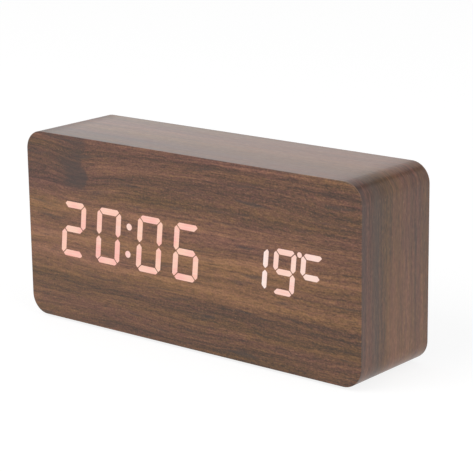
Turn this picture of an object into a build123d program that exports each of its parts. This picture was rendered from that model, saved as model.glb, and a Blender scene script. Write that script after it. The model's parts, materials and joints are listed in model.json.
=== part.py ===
from build123d import *
import os
from math import cos, pi, radians, sin, sqrt, tan

# Digital clock in a veneered wooden case. The display shines through the front veneer.
# Lengths are in millimetres. X runs along the clock, its front faces -Y and +Z is up.
# The origin is under the middle of the clock, on the surface that its feet stand on.

# Case
case_width = 150.0
case_height = 69.0
case_depth = 39.0
corner_radius = 7.1
veneer = 0.6
core_wall = 5.4
hollow_radius = 2.0
edge_round = 0.25
glue_play = 0.1

# Foot pads
foot_height = 1.0
foot_radius = 5.0
foot_round = 0.2
foot_inset = 9.5

# Front board, diffuser film and light mask
front_board_thickness = 3.0
film_thickness = 0.3
mask_margin = 2.4
mask_end_share = 0.27
mask_flange = 5.0
mask_flange_thickness = 3.5

# Digits of the time and of the temperature
slant_degrees = 5.6
segment_gap = 0.5
bevel_share = 0.85
display_rise = 0.2
time_width = 11.4
time_height = 20.5
time_stroke = 2.25
time_pitch = 17.0
time_margin_share = 0.265
colon_pitch = 19.5
colon_radius = 1.25
colon_spread = 10.1
temperature_width = 9.3
temperature_height = 15.85
temperature_stroke = 1.95
temperature_count = 3
temperature_pitch = 11.6
temperature_margin_share = 0.221
degree_radius = 0.95
degree_rise = 7.1
resin_play = 0.03
resin_floor = 1.0

# Display board and what sits on it
display_board_thickness = 1.2
led_length = 1.6
led_width = 0.9
led_height = 0.6
driver_length = 10.0
driver_width = 4.0
driver_height = 1.6
driver_place_shares = (0.22, 0.0)

# Screws
screw_radius = 1.1
press_play = 0.02
screw_hole_play = 0.3
screw_head_radius = 2.2
screw_head_height = 1.4
screw_slot_length = 2.6
screw_slot_width = 0.6
screw_slot_depth = 0.7
display_screw_inset = 6.0
display_screw_grip = 2.0
control_screw_grip = 4.0
cover_screw_radius = 1.4
cover_screw_head_radius = 2.7
cover_screw_grip = 9.0

# Rear cover and the corner blocks that hold it
cover_recess = 1.5
cover_seat = 2.5
cover_gap = 0.15
block_size = 9.0
block_length = 14.0
head_play = 0.3

# Control board, beside the battery bay: the two share out the room that is left in the case
board_margin_share = 0.41
board_gap_share = 0.25
control_board_width = 52.0
control_board_height = 36.0
control_board_thickness = 1.6
post_radius = 2.75
post_inset = 3.0

# Headers and the ribbon between the two boards
header_length = 12.0
header_width = 5.0
header_height = 5.0
ribbon_width = 10.0
ribbon_thickness = 0.8
ribbon_bend_share = 0.85
control_header_place_shares = (0.0, -0.33)
display_header_rise = 12.0

# Controller chip, crystal, capacitor and buzzer
chip_width = 10.0
chip_height = 1.5
chip_lift = 0.3
leg_count = 8
leg_reach = 1.0
leg_width = 0.5
leg_thickness = 0.6
chip_place_shares = (0.24, -0.05)
crystal_radius = 1.0
crystal_length = 6.0
crystal_place_shares = (-0.12, -0.17)
capacitor_radius = 3.15
capacitor_height = 7.0
capacitor_round = 0.5
capacitor_place_shares = (-0.31, -0.28)
buzzer_radius = 6.0
buzzer_height = 8.0
buzzer_hole_radius = 1.0
buzzer_hole_depth = 2.0
buzzer_place_shares = (-0.27, 0.17)

# Buttons and their switches
button_names = ("set", "up", "down")
button_place_shares = ((0.30, 0.25), (0.0, 0.25), (-0.30, 0.25))
button_radius = 3.5
button_play = 0.25
button_stand = 1.2
button_round = 0.4
button_travel = 0.5
flange_radius = 4.6
flange_thickness = 1.0
stem_length = 0.5
mark_radius = 1.5
mark_line = 0.5
mark_depth = 0.3
mark_turn_degrees = {"up": 90, "down": -90}
switch_size = 6.0
switch_height = 3.5
plunger_radius = 1.7
plunger_play = 0.25
plunger_stand = 1.0
plunger_length = 3.0

# Microphone, temperature sensor and air slots
microphone_radius = 3.0
microphone_length = 2.6
microphone_hole_radius = 0.8
microphone_collar = 1.0
microphone_place_shares = (0.365, -0.22)
wire_leg_radius = 0.25
wire_leg_spacing = 2.0
sensor_radius = 1.4
sensor_clearance = 0.6
sensor_place_shares = (0.08, -0.22)
slot_count = 5
slot_length = 8.0
slot_width = 1.2
slot_pitch = 2.4

# Power socket
socket_width = 8.94
socket_height = 3.26
socket_shell = 0.3
socket_play = 0.2
socket_base = 1.6
socket_inset = 0.3
tongue_width = 6.7
tongue_thickness = 0.7
tongue_length = 4.6
socket_place_shares = (-0.29, -0.22)

# Battery bay, its cells, contacts and springs
cell_count = 3
cell_radius = 5.25
cell_length = 44.5
cell_round = 0.5
cell_play = 0.5
cell_rest = 0.1
nub_radius = 1.9
nub_length = 0.8
bay_wall = 1.4
contact_thickness = 0.4
contact_size = 8.0
tag_width = 3.0
tag_stand = 2.0
spring_length = 6.0
spring_radius = 3.0
spring_wire = 0.5
spring_bend = 0.8
spring_turns = 3
lead_radius = 0.7
lead_bend = 3.0
lead_place_share = 0.365

# Battery door, which swings on its rounded lower edge
door_thickness = 1.6
door_gap = 0.3
door_seat_gap = 0.15
door_ledge = 2.5
ledge_floor = 0.65
tab_width = 6.0
tab_thickness = 1.0
tab_hook = 1.1
tab_clearance = 0.3
tab_spread_share = 0.6
latch_width = 12.0
latch_length = 7.0
latch_slit = 0.8
rib_count = 3
rib_width = 0.8
rib_height = 0.4
rib_pitch = 1.8

# Outlines and depths of the case, worked out from its sizes
front_y = -case_depth / 2
back_y = case_depth / 2
middle_z = foot_height + case_height / 2
display_z = middle_z + display_rise
core_front_y = front_y + veneer
core_back_y = back_y - veneer
core_width = case_width - 2 * veneer
core_height = case_height - 2 * veneer
hollow_width = core_width - 2 * core_wall
hollow_height = core_height - 2 * core_wall
seat_width = hollow_width + 2 * cover_seat
seat_height = hollow_height + 2 * cover_seat
seat_radius = hollow_radius + cover_seat
cover_thickness = door_thickness + door_seat_gap + ledge_floor
cover_y = back_y - cover_recess
cover_inner_y = cover_y - cover_thickness

# Depths of the display, from the front veneer backwards
front_board_rear_y = core_front_y + front_board_thickness
mask_front_y = core_front_y + film_thickness
mask_rear_y = front_board_rear_y + mask_flange_thickness
display_board_rear_y = mask_rear_y + display_board_thickness

# Depths of the control board and the battery bay, from the rear cover forwards
post_height = switch_height + plunger_stand + stem_length + flange_thickness
control_rear_y = cover_inner_y - post_height
control_front_y = control_rear_y - control_board_thickness
switch_top_y = control_rear_y + switch_height
plunger_top_y = switch_top_y + plunger_stand
door_inner_y = cover_y - door_thickness
ledge_y = door_inner_y - door_seat_gap
cell_pitch = 2 * cell_radius + cell_play
bay_length = cell_length + spring_length + 2 * contact_thickness
bay_height = cell_count * cell_pitch
bay_floor_y = ledge_y - cell_pitch
bay_front_y = bay_floor_y - bay_wall
spare_width = hollow_width - control_board_width - bay_length - 2 * bay_wall
control_x = -hollow_width / 2 + board_margin_share * spare_width + control_board_width / 2
bay_left = control_x + control_board_width / 2 + board_gap_share * spare_width
bay_x = bay_left + bay_wall + bay_length / 2
cell_y = bay_floor_y + cell_rest + cell_radius
opening_width = bay_length + 2 * door_ledge
opening_height = bay_height + 2 * door_ledge

# Places of the digits: the time and the temperature share out the room that is left beside them
lean = tan(radians(slant_degrees))
time_digit_span = time_width + lean * time_height
time_span = time_digit_span + 2 * time_pitch + colon_pitch
temperature_digit_span = temperature_width + lean * temperature_height
temperature_span = temperature_digit_span + (temperature_count - 1) * temperature_pitch
spare_display = hollow_width - time_span - temperature_span
time_left = -hollow_width / 2 + time_margin_share * spare_display
temperature_right = hollow_width / 2 - temperature_margin_share * spare_display
first_time_x = time_left + time_digit_span / 2
last_temperature_x = temperature_right - temperature_digit_span / 2
colon_x = first_time_x + time_pitch + colon_pitch / 2
time_places = [
    first_time_x,
    first_time_x + time_pitch,
    first_time_x + time_pitch + colon_pitch,
    first_time_x + 2 * time_pitch + colon_pitch,
]
temperature_places = [last_temperature_x - step * temperature_pitch for step in range(temperature_count)]
degree_x = last_temperature_x - temperature_pitch / 2
mask_left = time_left - mask_end_share * time_margin_share * spare_display
mask_right = temperature_right + mask_end_share * temperature_margin_share * spare_display
mask_width = mask_right - mask_left
mask_height = time_height + 2 * mask_margin
mask_x = (mask_left + mask_right) / 2
flange_height = mask_height + 2 * mask_flange

# Places of the screws, as seen from the front
display_screw_places = [
    (mask_x + side * (mask_width / 2 - display_screw_inset), level * (mask_height + mask_flange) / 2)
    for side in (-1, 1)
    for level in (-1, 1)
]
post_reach = control_board_width / 2 - post_inset
post_rise = control_board_height / 2 - post_inset
post_places = [
    (control_x + side * post_reach, level * post_rise)
    for side in (-1, 1)
    for level in (-1, 1)
]
block_places = [
    (side * (hollow_width - block_size) / 2, level * (hollow_height - block_size) / 2)
    for side in (-1, 1)
    for level in (-1, 1)
]


def facing_front(y, z=middle_z):
    """Upright plane that faces the front, at depth y: sketches on it are seen as from the front."""
    return Plane(origin=(0, y, z), x_dir=(1, 0, 0), z_dir=(0, -1, 0))


def on_control_board(shares):
    """Place on the control board, given as shares of its width and height from its middle."""
    return (control_x + shares[0] * control_board_width, shares[1] * control_board_height)


def on_display_board(shares):
    """Place on the display board, given as shares of its width and height from its middle."""
    return (mask_x + shares[0] * mask_width, shares[1] * flange_height)


def save(piece, name):
    """Label a finished piece and write it."""
    piece.label = name
    export_step(piece, f"parts/{name}.step")


def segment_outlines(width, height, stroke, gap, inset):
    """Outlines of a digit's seven segments about its middle, each drawn in by the inset."""
    across = width / 2 - inset
    up = height / 2 - inset
    bar = stroke - 2 * inset
    step = (gap + 2 * inset) / sqrt(2)
    bevel = bevel_share * bar
    outer_tip = (bevel - step) / 2
    inner_tip = (bevel + step) / 2
    top = [
        (bevel - across, up),
        (across - bevel, up),
        (across - inner_tip, up - outer_tip),
        (across - bar - step, up - bar),
        (bar + step - across, up - bar),
        (inner_tip - across, up - outer_tip),
    ]
    upper_left = [
        (-across, bar / 2 + step),
        (-across, up - bevel),
        (outer_tip - across, up - inner_tip),
        (bar - across, up - bar - step),
        (bar - across, bar / 2 + step),
        (bar / 2 - across, step),
    ]
    middle = [
        (bar / 2 + step - across, 0),
        (bar + step - across, bar / 2),
        (across - bar - step, bar / 2),
        (across - bar / 2 - step, 0),
        (across - bar - step, -bar / 2),
        (bar + step - across, -bar / 2),
    ]
    upper_right = [(-x, z) for x, z in upper_left]
    lower = [[(x, -z) for x, z in outline] for outline in (top, upper_left, upper_right)]
    return [top, upper_left, upper_right, middle] + lower


def draw_digits(places, width, height, stroke, inset):
    """Draw every segment of the digits at these places, leaning as the display does."""
    for place in places:
        for outline in segment_outlines(width, height, stroke, segment_gap, inset):
            leaning = [(place + x + lean * z, z) for x, z in outline]
            Polygon(*leaning, align=None)


def draw_time_cells(inset):
    """Draw the segments of the time and the two dots of its colon."""
    draw_digits(time_places, time_width, time_height, time_stroke, inset)
    for level in (-1, 1):
        rise = level * colon_spread / 2
        with Locations((colon_x + lean * rise, rise)):
            Circle(colon_radius - inset)


def draw_temperature_cells(inset):
    """Draw the segments of the temperature and its degree dot."""
    draw_digits(temperature_places, temperature_width, temperature_height, temperature_stroke, inset)
    with Locations((degree_x + lean * degree_rise, degree_rise)):
        Circle(degree_radius - inset)


def lamp_places(places, width, height, stroke):
    """Middles of all the segments of the digits at these places."""
    across = (width - stroke) / 2
    up = (height - stroke) / 2
    middles = [(0, up), (0, 0), (0, -up)]
    middles += [(side * across, level * up / 2) for side in (-1, 1) for level in (-1, 1)]
    return [(place + x + lean * z, z) for place in places for x, z in middles]


def add_screws(places, seat_y, grip, radius, head_radius, way=1, z=middle_z):
    """Screws with slotted heads on a seat: way 1 drives them forwards and way -1 backwards."""
    with BuildSketch(facing_front(seat_y, z)) as shanks:
        with Locations(*places):
            Circle(radius)
    extrude(shanks.sketch, amount=way * grip)
    with BuildSketch(facing_front(seat_y, z)) as heads:
        with Locations(*places):
            Circle(head_radius)
    extrude(heads.sketch, amount=-way * screw_head_height)
    with BuildSketch(facing_front(seat_y + way * screw_head_height, z)) as slots:
        with Locations(*places):
            Rectangle(screw_slot_length, screw_slot_width)
            Rectangle(screw_slot_width, screw_slot_length)
    extrude(slots.sketch, amount=way * screw_slot_depth, mode=Mode.SUBTRACT)


os.makedirs("parts", exist_ok=True)

# Casing core: a board sleeve, open at both ends, with a seat for the rear cover
with BuildPart() as casing_core:
    with BuildSketch(facing_front(core_back_y)):
        RectangleRounded(core_width, core_height, corner_radius - veneer)
        RectangleRounded(hollow_width, hollow_height, hollow_radius, mode=Mode.SUBTRACT)
    extrude(amount=core_back_y - core_front_y)
    with BuildSketch(facing_front(cover_inner_y)):
        RectangleRounded(seat_width, seat_height, seat_radius)
    extrude(amount=cover_inner_y - core_back_y, mode=Mode.SUBTRACT)
save(casing_core.part, "casing_core")

# Wrap veneer: one sheet round the top, sides and bottom
with BuildPart() as wrap_veneer:
    with BuildSketch(facing_front(core_back_y)):
        RectangleRounded(case_width, case_height, corner_radius)
        RectangleRounded(core_width, core_height, corner_radius - veneer, mode=Mode.SUBTRACT)
    extrude(amount=core_back_y - core_front_y)
save(wrap_veneer.part, "wrap_veneer")

# Front veneer: one unbroken sheet over the whole front
with BuildPart() as front_veneer:
    with BuildSketch(facing_front(core_front_y)):
        RectangleRounded(case_width, case_height, corner_radius)
    extrude(amount=veneer)
    fillet(front_veneer.faces().sort_by(Axis.Y)[0].edges(), edge_round)
save(front_veneer.part, "front_veneer")

# Rear veneer: a frame on the rim of the core
with BuildPart() as rear_veneer:
    with BuildSketch(facing_front(back_y)):
        RectangleRounded(case_width, case_height, corner_radius)
    extrude(amount=veneer)
    fillet(rear_veneer.faces().sort_by(Axis.Y)[-1].edges(), edge_round)
    with BuildSketch(facing_front(back_y)):
        RectangleRounded(seat_width, seat_height, seat_radius)
    extrude(amount=veneer, mode=Mode.SUBTRACT)
save(rear_veneer.part, "rear_veneer")

# Front board: fills the front of the sleeve behind the veneer, with a window for the display
with BuildPart() as front_board:
    with BuildSketch(facing_front(front_board_rear_y)):
        RectangleRounded(hollow_width - 2 * glue_play, hollow_height - 2 * glue_play, hollow_radius)
    extrude(amount=front_board_thickness)
    with BuildSketch(facing_front(front_board_rear_y, display_z)):
        with Locations((mask_x, 0)):
            Rectangle(mask_width + 2 * glue_play, mask_height + 2 * glue_play)
    extrude(amount=front_board_thickness, mode=Mode.SUBTRACT)
    with BuildSketch(facing_front(front_board_rear_y, display_z)):
        with Locations(*display_screw_places):
            Circle(screw_radius + press_play)
    extrude(amount=display_screw_grip, mode=Mode.SUBTRACT)
save(front_board.part, "front_board")

# Corner blocks: glued into the rear corners of the sleeve, flush with the cover's seat
with BuildPart() as corner_blocks:
    with BuildSketch(facing_front(cover_inner_y)):
        with Locations(*block_places):
            RectangleRounded(block_size, block_size, hollow_radius)
    extrude(amount=block_length)
    with BuildSketch(facing_front(cover_inner_y)):
        with Locations(*block_places):
            Circle(cover_screw_radius + press_play)
    extrude(amount=cover_screw_grip, mode=Mode.SUBTRACT)
save(corner_blocks.part, "corner_blocks")

# Foot pads: four round anti-slip pads under the case
foot_spread = case_width - 2 * (corner_radius + foot_inset)
with BuildPart() as foot_pads:
    with BuildSketch(Plane.XY):
        with GridLocations(foot_spread, case_depth - 2 * foot_inset, 2, 2):
            Circle(foot_radius)
    extrude(amount=foot_height)
    fillet(foot_pads.edges().group_by(Axis.Z)[0], foot_round)
save(foot_pads.part, "foot_pads")

# Diffuser film: between the front veneer and the light mask
with BuildPart() as diffuser_film:
    with BuildSketch(facing_front(mask_front_y, display_z)):
        with Locations((mask_x, 0)):
            Rectangle(mask_width, mask_height)
    extrude(amount=film_thickness)
save(diffuser_film.part, "diffuser_film")

# Light mask: a block with one cell for every segment, flanged against the front board
with BuildPart() as light_mask:
    with BuildSketch(facing_front(mask_rear_y, display_z)):
        with Locations((mask_x, 0)):
            Rectangle(mask_width, flange_height)
    extrude(amount=mask_flange_thickness)
    with BuildSketch(facing_front(front_board_rear_y, display_z)):
        with Locations((mask_x, 0)):
            Rectangle(mask_width, mask_height)
    extrude(amount=front_board_rear_y - mask_front_y)
    with BuildSketch(facing_front(mask_rear_y, display_z)):
        draw_time_cells(0)
        draw_temperature_cells(0)
        with Locations(*display_screw_places):
            Circle(screw_radius + screw_hole_play)
    extrude(amount=mask_rear_y - mask_front_y, mode=Mode.SUBTRACT)
save(light_mask.part, "light_mask")

# Clear resin in the cells of the time
with BuildPart() as time_segments:
    with BuildSketch(facing_front(mask_rear_y - resin_floor, display_z)):
        draw_time_cells(resin_play)
    extrude(amount=mask_rear_y - resin_floor - mask_front_y)
save(time_segments.part, "time_segments")

# Clear resin in the cells of the temperature
with BuildPart() as temperature_segments:
    with BuildSketch(facing_front(mask_rear_y - resin_floor, display_z)):
        draw_temperature_cells(resin_play)
    extrude(amount=mask_rear_y - resin_floor - mask_front_y)
save(temperature_segments.part, "temperature_segments")

# Display board: screwed to the front board through the mask's flange
with BuildPart() as display_board:
    with BuildSketch(facing_front(display_board_rear_y, display_z)):
        with Locations((mask_x, 0)):
            Rectangle(mask_width, flange_height)
        with Locations(*display_screw_places):
            Circle(screw_radius + screw_hole_play, mode=Mode.SUBTRACT)
    extrude(amount=display_board_thickness)
save(display_board.part, "display_board")

# One small lamp behind every segment
with BuildPart() as segment_leds:
    with BuildSketch(facing_front(mask_rear_y, display_z)):
        with Locations(*lamp_places(time_places, time_width, time_height, time_stroke)):
            Rectangle(led_length, led_width)
        with Locations(
            *lamp_places(temperature_places, temperature_width, temperature_height, temperature_stroke)
        ):
            Rectangle(led_length, led_width)
        for level in (-1, 1):
            with Locations((colon_x + lean * level * colon_spread / 2, level * colon_spread / 2)):
                Rectangle(led_length, led_width)
        with Locations((degree_x + lean * degree_rise, degree_rise)):
            Rectangle(led_width, led_width)
    extrude(amount=led_height)
save(segment_leds.part, "segment_leds")

# Screws that hold the display board and the light mask to the front board
with BuildPart() as display_screws:
    display_screw_grip_all = display_board_thickness + mask_flange_thickness + display_screw_grip
    add_screws(
        display_screw_places, display_board_rear_y, display_screw_grip_all, screw_radius, screw_head_radius,
        z=display_z,
    )
save(display_screws.part, "display_screws")

# Driver chip on the back of the display board
with BuildPart() as driver_chip:
    with BuildSketch(facing_front(display_board_rear_y, display_z)):
        with Locations(on_display_board(driver_place_shares)):
            Rectangle(driver_length, driver_width)
    extrude(amount=-driver_height)
save(driver_chip.part, "driver_chip")

# Headers on the two boards, one above the other, and the ribbon that bends between them
ribbon_x, control_header_rise = on_control_board(control_header_place_shares)
with BuildPart() as display_header:
    with BuildSketch(facing_front(display_board_rear_y)):
        with Locations((ribbon_x, display_header_rise)):
            Rectangle(header_length, header_width)
    extrude(amount=-header_height)
save(display_header.part, "display_header")

with BuildPart() as control_header:
    with BuildSketch(facing_front(control_front_y)):
        with Locations((ribbon_x, control_header_rise)):
            Rectangle(header_length, header_width)
    extrude(amount=header_height)
save(control_header.part, "control_header")

ribbon_start_y = display_board_rear_y + header_height
ribbon_end_y = control_front_y - header_height
ribbon_middle_y = (ribbon_start_y + ribbon_end_y) / 2
ribbon_bend = ribbon_bend_share * (ribbon_end_y - ribbon_start_y) / 2
with BuildPart() as ribbon_cable:
    with BuildSketch(Plane(origin=(ribbon_x, 0, middle_z), x_dir=(0, 1, 0), z_dir=(1, 0, 0))):
        with BuildLine():
            FilletPolyline(
                (ribbon_start_y, display_header_rise),
                (ribbon_middle_y, display_header_rise),
                (ribbon_middle_y, control_header_rise),
                (ribbon_end_y, control_header_rise),
                radius=ribbon_bend,
            )
        trace(line_width=ribbon_thickness)
    extrude(amount=ribbon_width / 2, both=True)
save(ribbon_cable.part, "ribbon_cable")

# Control board: carried on the rear cover's posts
with BuildPart() as control_board:
    with BuildSketch(facing_front(control_rear_y)):
        with Locations((control_x, 0)):
            Rectangle(control_board_width, control_board_height)
        with Locations(*post_places):
            Circle(screw_radius + screw_hole_play, mode=Mode.SUBTRACT)
    extrude(amount=control_board_thickness)
save(control_board.part, "control_board")

with BuildPart() as control_board_screws:
    control_screw_grip_all = control_board_thickness + control_screw_grip
    add_screws(
        post_places, control_front_y, control_screw_grip_all, screw_radius, screw_head_radius, way=-1
    )
save(control_board_screws.part, "control_board_screws")

# Controller chip with legs along its four sides
with BuildPart() as controller_chip:
    chip_place = on_control_board(chip_place_shares)
    leg_pitch = chip_width / (leg_count + 1)
    chip_base_y = control_front_y - chip_lift
    with BuildSketch(facing_front(chip_base_y)):
        with Locations(chip_place):
            Rectangle(chip_width, chip_width)
    extrude(amount=chip_height)
    with BuildSketch(facing_front(control_front_y)):
        with Locations(chip_place):
            with GridLocations(chip_width + leg_reach, leg_pitch, 2, leg_count):
                Rectangle(leg_reach, leg_width)
            with GridLocations(leg_pitch, chip_width + leg_reach, leg_count, 2):
                Rectangle(leg_width, leg_reach)
    extrude(amount=chip_lift + leg_thickness)
save(controller_chip.part, "controller_chip")

# Crystal can that keeps the time, lying along the control board
with BuildPart() as clock_crystal:
    crystal_across, crystal_rise = on_control_board(crystal_place_shares)
    crystal_origin = (crystal_across, control_front_y - crystal_radius, middle_z + crystal_rise)
    with BuildSketch(Plane(origin=crystal_origin, x_dir=(0, 1, 0), z_dir=(1, 0, 0))):
        Circle(crystal_radius)
    extrude(amount=crystal_length / 2, both=True)
save(clock_crystal.part, "clock_crystal")

# Capacitor can on the control board
with BuildPart() as capacitor:
    with BuildSketch(facing_front(control_front_y)):
        with Locations(on_control_board(capacitor_place_shares)):
            Circle(capacitor_radius)
    extrude(amount=capacitor_height)
    fillet(capacitor.edges().group_by(Axis.Y)[0], capacitor_round)
save(capacitor.part, "capacitor")

# Buzzer of the alarm, with its sound hole
with BuildPart() as buzzer:
    with BuildSketch(facing_front(control_front_y)):
        with Locations(on_control_board(buzzer_place_shares)):
            Circle(buzzer_radius)
    extrude(amount=buzzer_height)
    with BuildSketch(facing_front(control_front_y - buzzer_height)):
        with Locations(on_control_board(buzzer_place_shares)):
            Circle(buzzer_hole_radius)
    extrude(amount=-buzzer_hole_depth, mode=Mode.SUBTRACT)
save(buzzer.part, "buzzer")

# Microphone capsule in its collar behind the rear cover, on two wire legs
with BuildPart() as microphone:
    microphone_place = on_control_board(microphone_place_shares)
    microphone_foot_y = cover_inner_y - microphone_length
    with BuildSketch(facing_front(cover_inner_y)):
        with Locations(microphone_place):
            Circle(microphone_radius)
    extrude(amount=microphone_length)
    with BuildSketch(facing_front(microphone_foot_y)):
        with Locations(microphone_place):
            with GridLocations(wire_leg_spacing, 0, 2, 1):
                Circle(wire_leg_radius)
    extrude(amount=microphone_foot_y - control_rear_y)
save(microphone.part, "microphone")

# Temperature sensor: a bead on two wire legs behind the air slots
with BuildPart() as temperature_sensor:
    sensor_across, sensor_rise = on_control_board(sensor_place_shares)
    sensor_y = cover_inner_y - sensor_clearance - sensor_radius
    with BuildSketch(facing_front(sensor_y)):
        with Locations((sensor_across, sensor_rise)):
            with GridLocations(sensor_radius, 0, 2, 1):
                Circle(wire_leg_radius)
    extrude(amount=sensor_y - control_rear_y)
    with Locations((sensor_across, sensor_y, middle_z + sensor_rise)):
        Sphere(sensor_radius)
save(temperature_sensor.part, "temperature_sensor")

# Power socket: an upright shell on the control board, its mouth near the cover's face
socket_place = on_control_board(socket_place_shares)
socket_mouth_y = cover_y - socket_inset
with BuildPart() as power_socket_shell:
    with BuildSketch(facing_front(socket_mouth_y)):
        with Locations(socket_place):
            SlotOverall(socket_width, socket_height)
            SlotOverall(
                socket_width - 2 * socket_shell, socket_height - 2 * socket_shell, mode=Mode.SUBTRACT
            )
    extrude(amount=socket_mouth_y - control_rear_y)
save(power_socket_shell.part, "power_socket_shell")

tongue_inset = socket_shell + press_play
with BuildPart() as power_socket_tongue:
    with BuildSketch(facing_front(control_rear_y)):
        with Locations(socket_place):
            SlotOverall(socket_width - 2 * tongue_inset, socket_height - 2 * tongue_inset)
    extrude(amount=-socket_base)
    with BuildSketch(facing_front(control_rear_y + socket_base)):
        with Locations(socket_place):
            Rectangle(tongue_width, tongue_thickness)
    extrude(amount=-tongue_length)
save(power_socket_tongue.part, "power_socket_tongue")

# Switch bodies behind the three buttons, each with a well for its plunger
button_places = [on_control_board(shares) for shares in button_place_shares]
with BuildPart() as switch_bodies:
    with BuildSketch(facing_front(control_rear_y)):
        with Locations(*button_places):
            Rectangle(switch_size, switch_size)
    extrude(amount=-switch_height)
    with BuildSketch(facing_front(switch_top_y)):
        with Locations(*button_places):
            Circle(plunger_radius + plunger_play)
    extrude(amount=plunger_length + button_travel - plunger_stand + plunger_play, mode=Mode.SUBTRACT)
save(switch_bodies.part, "switch_bodies")

# Buttons: a cap through the cover, a flange behind it, and a stem that rests on the switch's plunger
for button_name, button_place in zip(button_names, button_places):
    with BuildPart() as plunger:
        with BuildSketch(facing_front(plunger_top_y)):
            with Locations(button_place):
                Circle(plunger_radius)
        extrude(amount=plunger_length)
    save(plunger.part, f"{button_name}_switch_plunger")

    with BuildPart() as button:
        with BuildSketch(facing_front(cover_y + button_stand)):
            with Locations(button_place):
                Circle(button_radius)
        extrude(amount=button_stand + cover_thickness + flange_thickness)
        fillet(button.edges().group_by(Axis.Y)[-1], button_round)
        with BuildSketch(facing_front(cover_inner_y)):
            with Locations(button_place):
                Circle(flange_radius)
        extrude(amount=flange_thickness)
        with BuildSketch(facing_front(cover_inner_y - flange_thickness)):
            with Locations(button_place):
                Circle(plunger_radius)
        extrude(amount=cover_inner_y - flange_thickness - plunger_top_y)
        with BuildSketch(facing_front(cover_y + button_stand)):
            with Locations(button_place):
                if button_name == "set":
                    Circle(mark_radius)
                    Circle(mark_radius - mark_line, mode=Mode.SUBTRACT)
                else:
                    RegularPolygon(mark_radius, 3, rotation=mark_turn_degrees[button_name])
        extrude(amount=mark_depth, mode=Mode.SUBTRACT)
    save(button.part, f"{button_name}_button")

# Battery door hinge: the axis runs along the middle of the door's rounded lower edge
hinge_y = cover_y - door_thickness / 2
hinge_z = middle_z - opening_height / 2 + door_gap + door_thickness / 2
tab_outer = cover_thickness - door_thickness / 2 + tab_clearance
tab_inner = tab_outer + tab_thickness
tab_reach = door_thickness / 2 + door_gap + tab_hook
tab_swing = sqrt(tab_inner**2 + tab_reach**2)
tab_places = [bay_x + side * tab_spread_share * bay_length / 2 for side in (-1, 1)]

# Cells lie side by side and turned end for end by turns: way 1 has its nub to the right
cell_levels = [(number - (cell_count - 1) / 2) * cell_pitch for number in range(cell_count)]
cell_ways = [1 if number % 2 == 0 else -1 for number in range(cell_count)]


def contact_face(way):
    """Where the contacts of one end wall face the cells: way 1 is the right wall."""
    return bay_x + way * (bay_length / 2 - contact_thickness)


def contact_middle(way):
    """Middle of the thickness of the contacts of one end wall."""
    return bay_x + way * (bay_length - contact_thickness) / 2


# The first cell's flat end and the last cell's nub each have a contact with a solder tag
negative_tag = (contact_middle(-cell_ways[0]), cell_levels[0])
positive_tag = (contact_middle(cell_ways[-1]), cell_levels[-1])

# Rear cover: a plate in the sleeve's seat, with the battery bay, the board posts and the openings
with BuildPart() as rear_cover:
    with BuildSketch(facing_front(cover_y)):
        RectangleRounded(seat_width - 2 * cover_gap, seat_height - 2 * cover_gap, seat_radius - cover_gap)
    extrude(amount=cover_thickness)
    with BuildSketch(facing_front(cover_inner_y)):
        with Locations((bay_x, 0)):
            Rectangle(bay_length + 2 * bay_wall, bay_height + 2 * bay_wall)
    extrude(amount=cover_inner_y - bay_front_y)
    with BuildSketch(facing_front(cover_inner_y)):
        with Locations(microphone_place):
            Circle(microphone_radius + microphone_collar)
    extrude(amount=microphone_length)
    with BuildSketch(facing_front(cover_inner_y)):
        with Locations(*post_places):
            Circle(post_radius)
    extrude(amount=post_height)
    with BuildSketch(facing_front(cover_y)):
        with Locations((bay_x, 0)):
            Rectangle(opening_width, opening_height)
    extrude(amount=cover_y - ledge_y, mode=Mode.SUBTRACT)
    with BuildSketch(facing_front(ledge_y)):
        with Locations((bay_x, 0)):
            Rectangle(bay_length, bay_height)
    extrude(amount=ledge_y - bay_floor_y, mode=Mode.SUBTRACT)
    with BuildSketch(facing_front(bay_floor_y)):
        with Locations(negative_tag, positive_tag):
            Rectangle(contact_thickness + 2 * glue_play, tag_width + 2 * glue_play)
    extrude(amount=bay_wall, mode=Mode.SUBTRACT)
    with BuildSketch(facing_front(ledge_y)):
        for tab_x in tab_places:
            with Locations((tab_x, -opening_height / 2)):
                Rectangle(
                    tab_width + 2 * door_gap, door_ledge + glue_play, align=(Align.CENTER, Align.MIN)
                )
    extrude(amount=tab_swing + tab_clearance, mode=Mode.SUBTRACT)
    with BuildSketch(facing_front(cover_y)):
        with Locations(*button_places):
            Circle(button_radius + button_play)
        with Locations(socket_place):
            SlotOverall(socket_width + 2 * socket_play, socket_height + 2 * socket_play)
        with Locations(microphone_place):
            Circle(microphone_hole_radius)
        with Locations((sensor_across, sensor_rise)):
            with GridLocations(slot_pitch, 0, slot_count, 1):
                SlotOverall(slot_length, slot_width, rotation=90)
        with Locations(*block_places):
            Circle(cover_screw_radius + screw_hole_play)
    extrude(amount=cover_thickness, mode=Mode.SUBTRACT)
    with BuildSketch(facing_front(cover_inner_y)):
        with Locations(microphone_place):
            Circle(microphone_radius + glue_play)
    extrude(amount=microphone_length, mode=Mode.SUBTRACT)
    with BuildSketch(facing_front(cover_y)):
        with Locations(*block_places):
            Circle(cover_screw_head_radius + head_play)
    extrude(amount=screw_head_height, mode=Mode.SUBTRACT)
    with BuildSketch(facing_front(control_rear_y)):
        with Locations(*post_places):
            Circle(screw_radius + press_play)
    extrude(amount=-control_screw_grip, mode=Mode.SUBTRACT)
save(rear_cover.part, "rear_cover")

# Screws of the rear cover, with their heads sunk flush
with BuildPart() as cover_screws:
    cover_screw_seat_y = cover_y - screw_head_height
    cover_screw_grip_all = cover_screw_seat_y - cover_inner_y + cover_screw_grip
    add_screws(
        block_places, cover_screw_seat_y, cover_screw_grip_all, cover_screw_radius, cover_screw_head_radius
    )
save(cover_screws.part, "cover_screws")

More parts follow.
